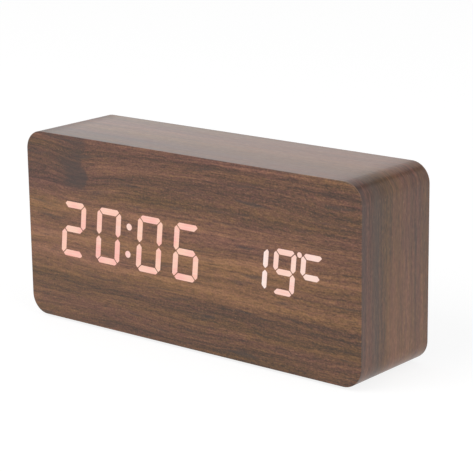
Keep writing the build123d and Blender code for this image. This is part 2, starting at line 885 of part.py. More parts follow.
# Battery door: rounded lower edge, two hooked tabs under the cover and a springy latch at the top
with BuildPart() as battery_door:
    door_width = opening_width - 2 * door_gap
    door_top = opening_height / 2 - door_gap
    with BuildSketch(Plane(origin=(bay_x, hinge_y, hinge_z), x_dir=(0, 1, 0), z_dir=(1, 0, 0))):
        Circle(door_thickness / 2)
        Rectangle(door_thickness, middle_z + door_top - hinge_z, align=(Align.CENTER, Align.MIN))
    extrude(amount=door_width / 2, both=True)
    for tab_x in tab_places:
        with BuildSketch(Plane(origin=(tab_x, hinge_y, hinge_z), x_dir=(0, 1, 0), z_dir=(1, 0, 0))):
            Polygon(
                (0, -tab_thickness / 2),
                (0, tab_thickness / 2),
                (-tab_inner, tab_thickness / 2),
                (-tab_inner, -tab_reach),
                (-tab_outer, -tab_reach),
                (-tab_outer, -tab_thickness / 2),
                align=None,
            )
        extrude(amount=tab_width / 2, both=True)
    with BuildSketch(facing_front(cover_y)):
        for side in (-1, 1):
            with Locations((bay_x + side * (latch_width + latch_slit) / 2, door_top)):
                Rectangle(latch_slit, latch_length, align=(Align.CENTER, Align.MAX))
    extrude(amount=door_thickness, mode=Mode.SUBTRACT)
    with BuildSketch(facing_front(cover_y)):
        with Locations((bay_x, door_top - latch_length / 2)):
            with GridLocations(0, rib_pitch, 1, rib_count):
                Rectangle(latch_width - 2 * rib_width, rib_width)
    extrude(amount=-rib_height)
save(battery_door.part, "battery_door")

# Battery cells: plain cans, each with a nub at its positive end
with BuildPart() as battery_cells:
    can_length = cell_length - nub_length
    for level, way in zip(cell_levels, cell_ways):
        can_middle_x = contact_face(way) - way * (nub_length + can_length / 2)
        middle = (can_middle_x, cell_y, middle_z + level)
        with BuildSketch(Plane(origin=middle, x_dir=(0, 1, 0), z_dir=(way, 0, 0))):
            Circle(cell_radius)
        extrude(amount=can_length / 2, both=True)
    fillet(battery_cells.edges().filter_by(GeomType.CIRCLE), cell_round)
    for level, way in zip(cell_levels, cell_ways):
        nub_end = (contact_face(way), cell_y, middle_z + level)
        with BuildSketch(Plane(origin=nub_end, x_dir=(0, 1, 0), z_dir=(-way, 0, 0))):
            Circle(nub_radius)
        extrude(amount=nub_length)
save(battery_cells.part, "battery_cells")

# Battery contacts: plates on the end walls, with solder tags through the bay's floor
with BuildPart() as battery_contacts:
    pair_height = cell_pitch + contact_size
    plates = [(-cell_ways[0], cell_levels[0], contact_size), (cell_ways[-1], cell_levels[-1], contact_size)]
    for way, level, next_level in zip(cell_ways, cell_levels, cell_levels[1:]):
        plates.append((way, (level + next_level) / 2, pair_height))
    for way, level, plate_height in plates:
        plate_middle = (contact_middle(way), cell_y, middle_z + level)
        with BuildSketch(Plane(origin=plate_middle, x_dir=(0, 1, 0), z_dir=(1, 0, 0))):
            Rectangle(contact_size, plate_height)
        extrude(amount=contact_thickness / 2, both=True)
    with BuildSketch(facing_front(cell_y)):
        with Locations(negative_tag, positive_tag):
            Rectangle(contact_thickness, tag_width)
    extrude(amount=cell_y - bay_front_y + tag_stand)
save(battery_contacts.part, "battery_contacts")


def add_biarc(start, start_way, end, end_way):
    """Two tangent arcs from one point and direction to another."""
    chord = end - start
    ways = start_way + end_way
    spread = 2 * (1 - start_way.dot(end_way))
    along = chord.dot(ways)
    reach = (sqrt(along**2 + spread * chord.dot(chord)) - along) / spread
    first_pull = start + start_way * reach
    second_pull = end - end_way * reach
    meeting = (first_pull + second_pull) / 2
    TangentArc(start, meeting, tangent=start_way)
    TangentArc(meeting, end, tangent=second_pull - first_pull)


def coil_station(base, way, angle):
    """Point and direction of a spring's turns, at an angle from their start."""
    lead_in = spring_wire + spring_bend
    rise = (spring_length - 2 * lead_in) / spring_turns
    climb = lead_in + rise * angle / (2 * pi)
    point = base + Vector(way * climb, spring_radius * cos(angle), spring_radius * sin(angle))
    direction = Vector(way * rise / (2 * pi), -spring_radius * sin(angle), spring_radius * cos(angle))
    return point, direction.normalized()


def spring_stations(base, way):
    """Points and directions along a spring, a quarter turn apart, with straight ends off the plates."""
    along = Vector(way, 0, 0)
    stations = [coil_station(base, way, quarter * pi / 2) for quarter in range(4 * spring_turns + 1)]
    first = base + Vector(way * spring_wire, spring_radius, -spring_bend)
    last = base + Vector(way * (spring_length - spring_wire), spring_radius, spring_bend)
    return [(first, along)] + stations + [(last, along)]


def add_spring(base, way):
    """One contact spring, from the plate at its base to the cell's end."""
    stations = spring_stations(base, way)
    along = Vector(way, 0, 0)
    start = stations[0][0] - along * spring_wire
    end = stations[-1][0] + along * spring_wire
    with BuildLine() as path:
        Line(start, stations[0][0])
        for here, there in zip(stations, stations[1:]):
            add_biarc(*here, *there)
        Line(stations[-1][0], end)
    with BuildSketch(Plane(origin=start, z_dir=along)) as section:
        Circle(spring_wire / 2)
    sweep(section.sketch, path=path.wire())
    return path.wire()


def least_gap(wire, diameter):
    """Least gap between stretches of a wire that lie more than a few diameters apart along it."""
    count = int(wire.length / (diameter / 2))
    points = [wire.position_at(number / count) for number in range(count + 1)]
    skip = int(4 * diameter / (wire.length / count))
    gaps = [
        (points[here] - points[there]).length - diameter
        for here in range(count + 1)
        for there in range(here + skip, count + 1)
    ]
    return min(gaps)


# Battery springs: one at the flat end of each cell
spring_paths = []
with BuildPart() as battery_springs:
    for level, way in zip(cell_levels, cell_ways):
        spring_base = Vector(contact_face(-way), cell_y, middle_z + level)
        spring_paths.append(add_spring(spring_base, way))
save(battery_springs.part, "battery_springs")
print("least gap in a spring:", round(min(least_gap(path, spring_wire) for path in spring_paths), 3))

# Leads from the two single contacts to the control board, along the front of the bay
lead_y = bay_front_y - lead_radius - glue_play
lead_end_x = control_x + lead_place_share * control_board_width
lead_starts = {
    "negative_lead": (negative_tag[0] - contact_thickness / 2, negative_tag[1]),
    "positive_lead": (positive_tag[0] - contact_thickness / 2, positive_tag[1]),
}
for lead_name, (lead_start_x, level) in lead_starts.items():
    with BuildPart() as lead:
        with BuildLine() as lead_path:
            FilletPolyline(
                (lead_start_x, lead_y, middle_z + level),
                (lead_end_x, lead_y, middle_z + level),
                (lead_end_x, control_front_y, middle_z + level),
                radius=lead_bend,
            )
        with BuildSketch(Plane(origin=(lead_start_x, lead_y, middle_z + level), z_dir=(-1, 0, 0))):
            Circle(lead_radius)
        sweep(path=lead_path.wire())
    save(lead.part, lead_name)
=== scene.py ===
import json
from math import cos, pi, radians, sin, sqrt, tan

import bmesh
import bpy
from mathutils import Matrix, Quaternion, Vector


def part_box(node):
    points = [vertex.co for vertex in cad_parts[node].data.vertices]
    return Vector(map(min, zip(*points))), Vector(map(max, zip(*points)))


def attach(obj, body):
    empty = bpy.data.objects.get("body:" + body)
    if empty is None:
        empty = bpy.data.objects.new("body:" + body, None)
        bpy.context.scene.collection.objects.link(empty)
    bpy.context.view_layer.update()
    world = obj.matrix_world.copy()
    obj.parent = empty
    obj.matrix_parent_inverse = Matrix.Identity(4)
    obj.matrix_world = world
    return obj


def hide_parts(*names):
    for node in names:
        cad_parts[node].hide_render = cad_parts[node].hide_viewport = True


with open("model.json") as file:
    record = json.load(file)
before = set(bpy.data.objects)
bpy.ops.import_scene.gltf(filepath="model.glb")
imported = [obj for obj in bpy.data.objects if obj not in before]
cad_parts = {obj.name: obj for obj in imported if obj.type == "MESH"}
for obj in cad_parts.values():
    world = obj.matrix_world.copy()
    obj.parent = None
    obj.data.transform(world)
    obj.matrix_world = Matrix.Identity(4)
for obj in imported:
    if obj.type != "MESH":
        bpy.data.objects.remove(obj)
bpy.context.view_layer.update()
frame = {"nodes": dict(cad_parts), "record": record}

# Lengths are written in millimetres and become metres where they meet the frame.
mm = 0.001

# The case, read from the frame
case_low, case_high = [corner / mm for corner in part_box("wrap_veneer")]
front_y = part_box("front_veneer")[0].y / mm
half_width = case_high.x
case_middle_z = (case_low.z + case_high.z) / 2
corner_radius = 7.1


# Shader maths

class Field:
    """A value that changes over a surface. Arithmetic on it adds Math nodes."""

    def __init__(self, finish, socket):
        self.finish = finish
        self.socket = socket

    def math(self, operation, *others):
        return self.finish.node("Math", {"operation": operation}, dict(enumerate((self, *others))))

    def __add__(self, other):
        return self.math("ADD", other)

    def __radd__(self, other):
        return self.math("ADD", other)

    def __sub__(self, other):
        return self.math("SUBTRACT", other)

    def __rsub__(self, other):
        return (self * -1.0).math("ADD", other)

    def __mul__(self, other):
        return self.math("MULTIPLY", other)

    def __rmul__(self, other):
        return self.math("MULTIPLY", other)

    def __truediv__(self, other):
        return self.math("DIVIDE", other)

    def __lt__(self, other):
        return self.math("LESS_THAN", other)

    def __abs__(self):
        return self.math("ABSOLUTE")

    def at_least(self, other):
        return self.math("MAXIMUM", other)

    def at_most(self, other):
        return self.math("MINIMUM", other)

    def bell(self):
        """One where the value is zero, falling smoothly to nothing by about two either way."""
        return (self * self * -1.0).math("EXPONENT")

    def from_lines(self, pitch):
        """How far the value is from the nearest of a row of lines a pitch apart."""
        return abs((self / pitch).math("FRACT") - 0.5) * pitch

    def rise(self, low, high):
        """Nothing up to low and one from high on, with a smooth step between them."""
        inputs = {"Value": self, "From Min": low, "From Max": high}
        return self.finish.node("MapRange", {"interpolation_type": "SMOOTHSTEP"}, inputs)


class Finish:
    """A procedural material on a Principled shader."""

    def __init__(self, name, **constants):
        self.material = bpy.data.materials.new(name)
        self.material.use_nodes = True
        self.tree = self.material.node_tree
        self.shader = self.tree.nodes["Principled BSDF"]
        self.shade(**constants)

    def feed(self, socket, value):
        """Link a field to a socket, or set a plain value on it."""
        if isinstance(value, Field):
            self.tree.links.new(value.socket, socket)
        elif isinstance(value, tuple) and len(value) == 3 and socket.type == "RGBA":
            socket.default_value = (*value, 1.0)
        else:
            socket.default_value = value

    def node(self, kind, settings=None, inputs=None, output=0):
        """Add a node with its settings and the values or links of its sockets, and give one output."""
        node = self.tree.nodes.new("ShaderNode" + kind)
        for setting, value in (settings or {}).items():
            if setting == "stops":
                set_stops(node.color_ramp, value)
            else:
                setattr(node, setting, value)
        for socket_name, value in (inputs or {}).items():
            self.feed(node.inputs[socket_name], value)
        return Field(self, node.outputs[output])

    def place(self):
        """Where a point of the surface lies in the clock's frame, in millimetres along X, Y and Z."""
        spot = self.node("TexCoord", output="Object")
        return [self.node("SeparateXYZ", inputs={0: spot}, output=axis) / mm for axis in "XYZ"]

    def noise(self, x, y, z, detail=2.0, roughness=0.5):
        """Noise about zero, over coordinates that are already scaled."""
        spot = self.node("CombineXYZ", inputs={"X": x, "Y": y, "Z": z})
        inputs = {"Vector": spot, "Scale": 1.0, "Detail": detail, "Roughness": roughness}
        return self.node("TexNoise", inputs=inputs) - 0.5

    def mix(self, share, first, second):
        """Blend two colours."""
        return self.node("Mix", {"data_type": "RGBA"}, {0: share, 6: first, 7: second}, output=2)

    def ramp(self, value, stops):
        """Colour from a list of stops."""
        return self.node("ValToRGB", {"stops": stops}, {"Fac": value})

    def bump(self, height, depth):
        """Surface relief: height is about nothing to one, and depth says how many millimetres one is."""
        inputs = {"Height": height, "Distance": depth * mm, "Strength": 1.0}
        self.shade(Normal=self.node("Bump", inputs=inputs))

    def shade(self, **values):
        """Set or link the shader's sockets, and give the material."""
        for socket_name, value in values.items():
            self.feed(self.shader.inputs[socket_name.replace("_", " ")], value)
        return self.material


def set_stops(ramp, stops):
    """Give a colour ramp its stops, each a place and a colour."""
    while len(ramp.elements) < len(stops):
        ramp.elements.new(1.0)
    for element, (position, color) in zip(ramp.elements, stops):
        element.position = position
        element.color = (*color, 1.0)


# Walnut veneer

red_walnut = [
    (0.00, (0.030, 0.019, 0.016)),
    (0.30, (0.080, 0.037, 0.028)),
    (0.55, (0.150, 0.064, 0.047)),
    (0.80, (0.252, 0.112, 0.074)),
    (1.00, (0.340, 0.160, 0.094)),
]
orange_walnut = [
    (0.00, (0.028, 0.022, 0.015)),
    (0.30, (0.073, 0.042, 0.022)),
    (0.55, (0.146, 0.074, 0.029)),
    (0.80, (0.248, 0.124, 0.047)),
    (1.00, (0.335, 0.170, 0.072)),
]
slate_streak = (0.045, 0.037, 0.034)
blue_streak = (0.085, 0.068, 0.066)
red_streak = (0.225, 0.095, 0.055)
knot_smudge = (0.066, 0.045, 0.040)
grey_veil = (0.150, 0.125, 0.115)
pore_color = (0.020, 0.014, 0.011)
glint_speck_color = (0.330, 0.230, 0.170)
grain_tilt = 0.02
knot_x, knot_z = -50.5, 56.0
lacquer = {"Specular_IOR_Level": 0.10, "Coat_Roughness": 0.28, "Coat_IOR": 1.5}


def walnut(
    finish, along, across, lightness, seed, contrast=1.0, warm=0.43, gloss=0.54, relief=0.03, crinkle=1.0,
):
    """Colour of walnut whose grain runs along, in millimetres. Its gloss and relief go to the shader."""
    # Each layer is noise, finer than the layer before and far longer along the grain than across it.
    wander = finish.noise(along * 0.012, across * 0.045, seed, detail=1.0) * (6.0 * contrast)
    waver = finish.noise(along * 0.06, across * 0.30, seed + 1, detail=1.0) * (1.2 * contrast)
    line = across + wander + waver
    broad = finish.noise(along * 0.006, line * 0.17, seed + 2, detail=2.0)
    streak = finish.noise(along * 0.022, line * 0.75, seed + 3, detail=3.0, roughness=0.6)
    patch = finish.noise(along * 0.055, line * 0.50, seed + 4, detail=2.0)
    dash = line + along * grain_tilt
    stroke = finish.noise(along * 0.20, dash * 1.40, seed + 5, detail=2.0, roughness=0.6)
    fleck = finish.noise(along * 0.66, dash * 1.35, seed + 6, detail=2.0, roughness=0.6) * crinkle
    hue = finish.noise(along * 0.010, line * 0.11, seed + 7, detail=2.0)
    tinge = finish.noise(along * 0.30, dash * 1.2, seed + 8, detail=2.0)
    grit_and_glint = finish.noise(along * 1.3, dash * 2.6, seed + 9, detail=1.0)
    grain = streak * 0.90 + stroke * 0.56 + fleck * 0.50 + grit_and_glint * 0.60
    tone = lightness + broad * 0.28 + grain * contrast
    orange = (hue * 1.5 + tinge * 0.9 + warm).rise(0.0, 1.0)
    wood = finish.mix(orange, finish.ramp(tone, red_walnut), finish.ramp(tone, orange_walnut))
    wood = finish.mix(patch.rise(0.06, 0.26) * (0.55 * contrast), wood, slate_streak)
    pore = (stroke * -1.0).rise(0.10, 0.26) * (fleck * 2.0 + 0.8)
    # Pale specks where the grain catches the light are a painted glint; the same noise also adds fine grit to
    # the tone.
    wood = finish.mix(grit_and_glint.rise(0.20, 0.32) * (0.5 * contrast), wood, glint_speck_color)
    finish.bump(streak * 0.3 + stroke * 0.6 + fleck - pore * 0.3, relief)
    finish.shade(Roughness=0.5 + stroke * 0.3, Coat_Weight=gloss + (fleck + tinge) * 0.18)
    return finish.mix(pore * (0.6 * contrast), wood, pore_color)


def band(along, across, height, slope, spread):
    """A band of grain at a height that climbs along the grain, fading over its spread."""
    return ((across - height - along * slope) / spread).bell()


# Streaks of the front sheet: height, climb along the grain, half height, middle, half length, lightness
front_streaks = [
    (43.4, 0.000, 1.7, -30.0, 90.0, 0.15),
    (32.8, 0.028, 2.4, -10.0, 120.0, 0.23),
    (22.6, -0.010, 2.0, 0.0, 90.0, 0.19),
    (67.8, 0.000, 1.2, 38.0, 40.0, 0.20),
    (67.8, 0.000, 1.2, -66.0, 16.0, 0.20),
    (60.0, 0.000, 2.0, -36.0, 9.0, 0.12),
    (61.8, 0.000, 2.2, -10.0, 25.0, 0.06),
    (55.3, 0.000, 1.6, 35.0, 32.0, 0.10),
    (51.0, 0.000, 2.6, -34.0, 16.0, 0.22),
    (5.5, 0.000, 4.0, -75.0, 40.0, 0.16),
    (10.5, 0.000, 1.5, 0.0, 120.0, 0.05),
    (16.0, 0.020, 1.8, 10.0, 90.0, -0.04),
    (58.3, 0.000, 1.5, 5.0, 45.0, -0.05),
    (58.0, 0.000, 9.0, -73.0, 12.0, -0.07),
    (55.0, 0.000, 9.0, 75.0, 25.0, -0.06),
]


def front_walnut():
    """The front sheet: level grain, lighter through the middle, that dips at one dark knot."""
    finish = Finish("front_walnut", **lacquer)
    along, depth, height = finish.place()
    across = height - case_low.z
    from_knot = along - knot_x
    dip = (from_knot / 13.0).bell() * ((across - knot_z) / 13.0).bell() * 2.6
    bent = across + dip
    plateau = (bent - along * 0.045).rise(15.5, 21.5) * (1.0 - bent.rise(45.0, 53.0))
    lightness = 0.474 + plateau * (0.165 - along.rise(40.0, 72.0) * 0.08)
    for level, climb, spread, middle, reach, gain in front_streaks:
        share = band(along, bent, level, climb, spread) * ((along - middle) / reach).bell()
        lightness = lightness + share * gain
    ragged = from_knot + finish.noise(along * 0.10, across * 0.16, 61.0) * 14.0
    level = across.rise(48.0, 53.0) * (1.0 - across.rise(57.0, 63.0) * 0.5)
    smudge = ragged.rise(-13.0, 0.0) * (1.0 - ragged.rise(3.0, 6.5)) * level
    edge = (depth - front_y).rise(0.15, 0.45)
    upper_edge_highlight = edge * across.rise(60.0, 66.0)
    # The veneer's cut edge is darker as a dark joint; along the top it gets a painted highlight.
    lightness = lightness - smudge * 0.17 - edge * 0.2 + upper_edge_highlight * 0.40
    warm = 0.57 - across.rise(32.0, 52.0) * 0.13
    crinkle = 0.75 + along.rise(-60.0, 60.0) * 0.45
    wood = walnut(finish, along, bent, lightness, 3.0, warm=warm, relief=0.11, crinkle=crinkle)
    return finish.shade(Base_Color=finish.mix(smudge * 0.60, wood, knot_smudge))


def round_the_case(finish):
    """How far a point lies round the case from the middle of its top, and how far from front to back."""
    x, y, z = finish.place()
    flat_reach = half_width - corner_radius
    upper_turn_z = case_high.z - corner_radius
    lower_turn_z = case_low.z + corner_radius
    sliver = 0.001
    reach = abs(x).at_most(flat_reach)
    over = (abs(x) - flat_reach).at_least(sliver)
    upper_turn = over.math("ARCTAN2", (z - upper_turn_z).at_least(0.0))
    lower_turn = (lower_turn_z - z).at_least(0.0).math("ARCTAN2", over)
    down = (upper_turn_z - z).at_least(0.0).at_most(upper_turn_z - lower_turn_z)
    under = (z < case_middle_z) * (flat_reach - reach) * 2.0
    girth = reach + under + (upper_turn + lower_turn) * corner_radius + down
    return girth * x.math("SIGN"), y


# Streaks of the wrapped sheet: distance from the front, half width, lightness, and more low on the sides
wrap_streaks = [
    (1.0, 1.6, -0.13, 0.03),
    (4.5, 1.4, 0.00, 0.07),
    (8.5, 1.8, -0.09, 0.04),
    (14.6, 0.9, -0.06, 0.00),
    (16.5, 1.6, -0.05, 0.12),
    (26.0, 1.5, 0.00, 0.05),
    (35.0, 2.0, 0.00, 0.09),
]


def wrap_walnut():
    """The sheet that is bent round the top, sides and bottom, with its grain running round the case."""
    finish = Finish("wrap_walnut", **lacquer)
    along, depth = round_the_case(finish)
    across = depth - front_y
    girth = abs(along)
    on_top = 1.0 - girth.rise(60.0, 74.0)
    low = girth.rise(80.0, 135.0)
    bend = ((girth - 73.0) / 6.0).bell()
    dull_shaded_line = (girth - 73.0).bell()
    lower_bend = ((girth - 141.0) / 7.0).bell()
    # Painted light: the top is lighter as a painted reflection, the low sides and the lower bend lighter as
    # painted light thrown up from the floor, and the top-to-side bend a little lighter round its painted
    # shade line.
    lightness = 0.385 + on_top * 0.165 + low * 0.09 + bend * 0.025 + lower_bend * 0.08
    # A painted shade line darkens the middle of the top-to-side bend; it also dulls the gloss there.
    lightness = lightness + across.rise(12.0, 19.0) * 0.10 - across.rise(24.0, 30.0) * 0.05 - dull_shaded_line * 0.06
    for place, spread, gain, low_gain in wrap_streaks:
        lightness = lightness + band(along, across, place, 0.0, spread) * (low * low_gain + gain)
    gloss = 0.48 + on_top * (0.28 - along * 0.0010 + (across - 19.0) * 0.0020) + low * 0.05
    gloss = gloss - bend * 0.14 - dull_shaded_line * 0.34
    wood = walnut(finish, along * 0.5, across * 0.8, lightness, 21.0, contrast=0.70, gloss=gloss)
    wood = finish.mix(0.07 - on_top * 0.07, wood, grey_veil)
    blue_share = band(along, across, 8.5, 0.0, 2.2) * 0.30 + band(along, across, 1.5, 0.0, 1.6) * 0.20
    wood = finish.mix(blue_share, wood, blue_streak)
    red_share = band(along, across, 18.0, 0.0, 3.0) * girth.rise(85.0, 120.0) * 0.25
    red_share = red_share + on_top * along.rise(-40.0, 50.0) * 0.30
    return finish.shade(Base_Color=finish.mix(red_share, wood, red_streak))


def rear_walnut():
    """The frame on the rear rim."""
    finish = Finish("rear_walnut", **lacquer)
    along, _, across = finish.place()
    return finish.shade(Base_Color=walnut(finish, along, across, 0.46, 41.0))


# Lit digits: light that comes through the front sheet, drawn as thin plates on its face

slant_degrees = 5.6
lean = tan(radians(slant_degrees))
segment_gap = 0.36
bevel_share = 0.85
tip_round = 0.22
plate_proud = 0.02
plate_sunk = 0.1
time_digit = {"width": 11.45, "height": 20.55, "stroke": 2.3}
temperature_digit = {"width": 9.3, "height": 15.9, "stroke": 2.0}
sharp_angle = radians(35.0)
lit_segments = {
    "0": "top upper_left upper_right bottom lower_left lower_right",
    "1": "upper_right lower_right",
    "2": "top upper_right middle bottom lower_left",
    "6": "top upper_left middle bottom lower_left lower_right",
    "9": "top upper_left upper_right middle bottom lower_right",
    "c": "top upper_left middle",
}


def segment_outlines(width, height, stroke):
    """Outlines of the seven segments of one upright digit about its middle."""
    across = width / 2
    up = height / 2
    step = segment_gap / sqrt(2)
    bevel = bevel_share * stroke
    outer_tip = (bevel - step) / 2
    inner_tip = (bevel + step) / 2
    half = stroke / 2
    top = [
        (bevel - across, up), (across - bevel, up), (across - inner_tip, up - outer_tip),
        (across - stroke - step, up - stroke), (stroke + step - across, up - stroke),
        (inner_tip - across, up - outer_tip),
    ]
    upper_left = [
        (-across, half + step), (-across, up - bevel), (outer_tip - across, up - inner_tip),
        (stroke - across, up - stroke - step), (stroke - across, half + step), (half - across, step),
    ]
    middle = [
        (half + step - across, 0), (stroke + step - across, half), (across - stroke - step, half),
        (across - half - step, 0), (across - stroke - step, -half), (stroke + step - across, -half),
    ]
    upper_right = [(-x, z) for x, z in upper_left]
    outlines = {"top": top, "upper_left": upper_left, "upper_right": upper_right, "middle": middle}
    for upper, lower in (("top", "bottom"), ("upper_left", "lower_left"), ("upper_right", "lower_right")):
        outlines[lower] = [(x, -z) for x, z in outlines[upper]]
    return outlines


def add_piece(name, shape, body, slot, *materials, smooth=False):
    """Finish a mesh: merge doubles, turn its faces outwards and join it to a body."""
    bmesh.ops.remove_doubles(shape, verts=shape.verts, dist=0.001 * mm)
    bmesh.ops.recalc_face_normals(shape, faces=shape.faces)
    for face in shape.faces:
        face.smooth = smooth
    for edge in shape.edges:
        edge.smooth = edge.calc_face_angle(0.0) < sharp_angle
    mesh = bpy.data.meshes.new(name)
    shape.to_mesh(mesh)
    shape.free()
    piece = bpy.data.objects.new(name, mesh)
    bpy.context.scene.collection.objects.link(piece)
    for material in materials:
        mesh.materials.append(material)
    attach(piece, body)
    return piece


def thicken_plate(shape, face):
    """Extrude a face that lies just proud of the front sheet back into it."""
    grown = bmesh.ops.extrude_face_region(shape, geom=[face])
    moved = [part for part in grown["geom"] if isinstance(part, bmesh.types.BMVert)]
    bmesh.ops.translate(shape, verts=moved, vec=(0, (plate_proud + plate_sunk) * mm, 0))


def add_segment_plate(shape, outline, x, z):
    """One lit segment about the middle of its digit, leaning to the right, with rounded tips."""
    proud_y = (front_y - plate_proud) * mm
    corners = [shape.verts.new(((x + u + lean * v) * mm, proud_y, (z + v) * mm)) for u, v in outline]
    shape.faces.new(corners)
    rounded = bmesh.ops.bevel(
        shape, geom=corners, offset=tip_round * mm, offset_type="OFFSET", affect="VERTICES",
        segments=3, profile=0.5, material=-1,
    )
    thicken_plate(shape, rounded["verts"][0].link_faces[0])


def add_dot_plate(shape, x, z, radius):
    """One lit dot."""
    upright = Matrix.Translation(Vector((x, front_y - plate_proud, z)) * mm) @ Matrix.Rotation(pi / 2, 4, "X")
    made = bmesh.ops.create_circle(shape, cap_ends=True, segments=32, radius=radius * mm, matrix=upright)
    thicken_plate(shape, made["verts"][0].link_faces[0])


def add_digits(shape, text, places, z, width, height, stroke):
    """The lit segments of a row of digits."""
    outlines = segment_outlines(width, height, stroke)
    for digit, x in zip(text, places):
        for name in lit_segments[digit].split():
            add_segment_plate(shape, outlines[name], x, z)


def lit_glow(name, pink, peach, pale_places, seed):
    """Lamplight in the wood: pink and peach by turns, paler at some places, with faint grain."""
    finish = Finish(name, Roughness=0.5, Specular_IOR_Level=0.2, Emission_Strength=0.60)
    x, _, z = finish.place()
    drift = finish.noise(x * 0.12, z * 0.12, seed, detail=1.0)
    grain = finish.noise(x * 0.12, z * 2.2, seed + 1, detail=2.0)
    tint = finish.mix((drift * 3.2 + 0.5).rise(0.0, 1.0), pink, peach)
    pale = tuple(0.58 + 0.42 * share for share in peach)
    pale_share = grain * 0.9 + 0.10
    for place, spread, share in pale_places:
        pale_share = pale_share + ((x - place) / spread).bell() * share
    tint = finish.mix(pale_share.at_least(0.0).at_most(1.0), tint, pale)
    # The base colour is a darker copy of the glow's tint, so part of the lamplight is painted into the
    # surface colour.
    return finish.shade(Base_Color=finish.mix(0.62, tint, (0.0, 0.0, 0.0)), Emission_Color=tint)


def add_lit_time():
    """Twenty hours and six minutes, with the colon between."""
    low, high = [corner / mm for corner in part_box("time_segments")]
    middle_x, middle_z = (low.x + high.x) / 2, (low.z + high.z) / 2
    pitch, colon_pitch = 17.0, 19.5
    colon_radius, colon_spread = 1.25, 10.1
    inner, outer = colon_pitch / 2, colon_pitch / 2 + pitch
    shape = bmesh.new()
    places = [middle_x - outer, middle_x - inner, middle_x + inner, middle_x + outer]
    add_digits(shape, "2006", places, middle_z, **time_digit)
    for level in (-colon_spread / 2, colon_spread / 2):
        add_dot_plate(shape, middle_x + lean * level, middle_z + level, colon_radius)
    glow = lit_glow("time_glow", (1.0, 0.49, 0.42), (1.0, 0.60, 0.46), [(middle_x, 2.5, 0.34)], 5.0)
    add_piece("lit_time_digits", shape, "case", "clear_resin", glow)


def add_lit_temperature():
    """Nineteen degrees."""
    low, high = [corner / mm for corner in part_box("temperature_segments")]
    middle_x, middle_z = (low.x + high.x) / 2, (low.z + high.z) / 2
    pitch = 11.6
    unit_shift = 0.3
    degree_radius, degree_rise = 0.95, 7.1
    shape = bmesh.new()
    places = [middle_x - pitch, middle_x, middle_x + pitch - unit_shift]
    add_digits(shape, "19c", places, middle_z, **temperature_digit)
    add_dot_plate(shape, middle_x + pitch / 2 + lean * degree_rise, middle_z + degree_rise, degree_radius)
    pale_places = [(middle_x - pitch, 5.0, 0.97), (middle_x + pitch, 7.0, 0.30)]
    glow = lit_glow("temperature_glow", (1.0, 0.60, 0.51), (1.0, 0.66, 0.54), pale_places, 9.0)
    add_piece("lit_temperature_digits", shape, "case", "clear_resin", glow)


# Plastics, rubber and board

def shades(color, spread):
    """A darker and a lighter shade of a colour."""
    return [tuple(min(1.0, share * (1.0 + way * spread)) for share in color) for way in (-1, 1)]


def moulded(name, color, roughness, pit_size=0.25, relief=0.02, **constants):
    """A moulded skin: a soft mottle from handling over a fine pitted relief."""
    finish = Finish(name, **constants)
    x, y, z = finish.place()
    mottle = finish.noise(x * 0.10, y * 0.10, z * 0.10, detail=3.0, roughness=0.6)
    pit = finish.noise(x / pit_size, y / pit_size, z / pit_size, detail=2.0)
    darker, lighter = shades(color, 0.35)
    finish.bump(pit, relief)
    skin = finish.mix(mottle * 1.2 + pit * 1.8 + 0.5, darker, lighter)
    return finish.shade(Base_Color=skin, Roughness=roughness + mottle * 0.35 + pit * 0.25)


def fibre_board():
    """Pressed wood fibre: pale and dark fibres in a matt buff ground."""
    finish = Finish("fibre_board", Specular_IOR_Level=0.2)
    x, y, z = finish.place()
    fibre = finish.noise(x * 1.2, y * 3.5, z * 1.2, detail=4.0, roughness=0.7)
    fleck = finish.noise(x * 3.0, y * 3.0, z * 3.0, detail=2.0)
    darker, lighter = shades((0.40, 0.28, 0.165), 0.45)
    finish.bump(fibre + fleck, 0.05)
    board = finish.mix(fibre * 2.0 + fleck * 1.0 + 0.5, darker, lighter)
    return finish.shade(Base_Color=board, Roughness=0.82 + fleck * 0.3)


def circuit_board():
    """Green lacquer over copper tracks, some along and some upright, with tinned holes."""
    finish = Finish("circuit_board", Coat_Weight=0.4, Coat_Roughness=0.2)
    x, _, z = finish.place()
    grid, track_half, hole_radius = 1.27, 0.16, 0.30
    upright = finish.noise(x * 0.09, z * 0.09, 71.0, detail=0.0).rise(-0.004, 0.004)
    along_gap, upright_gap = z.from_lines(grid), x.from_lines(grid)
    gap = along_gap + (upright_gap - along_gap) * upright
    kept = finish.noise(x * 0.16, z * 0.16, 73.0, detail=1.0).rise(-0.02, 0.02)
    track = (1.0 - gap.rise(track_half, track_half + 0.06)) * kept
    corner = along_gap * along_gap + upright_gap * upright_gap
    chosen = finish.noise(x * 0.5, z * 0.5, 75.0, detail=0.0).rise(0.10, 0.12)
    hole = (corner < hole_radius * hole_radius) * chosen
    weave = finish.noise(x * 2.0, z * 2.0, 77.0, detail=2.0)
    lacquer_color = finish.mix(weave * 2.0 + 0.5, (0.006, 0.050, 0.020), (0.010, 0.075, 0.032))
    face = finish.mix(track, lacquer_color, (0.022, 0.125, 0.050))
    finish.bump(track + hole, 0.03)
    return finish.shade(
        Base_Color=finish.mix(hole, face, (0.62, 0.62, 0.60)), Metallic=hole, Roughness=0.38 + weave * 0.2,
    )


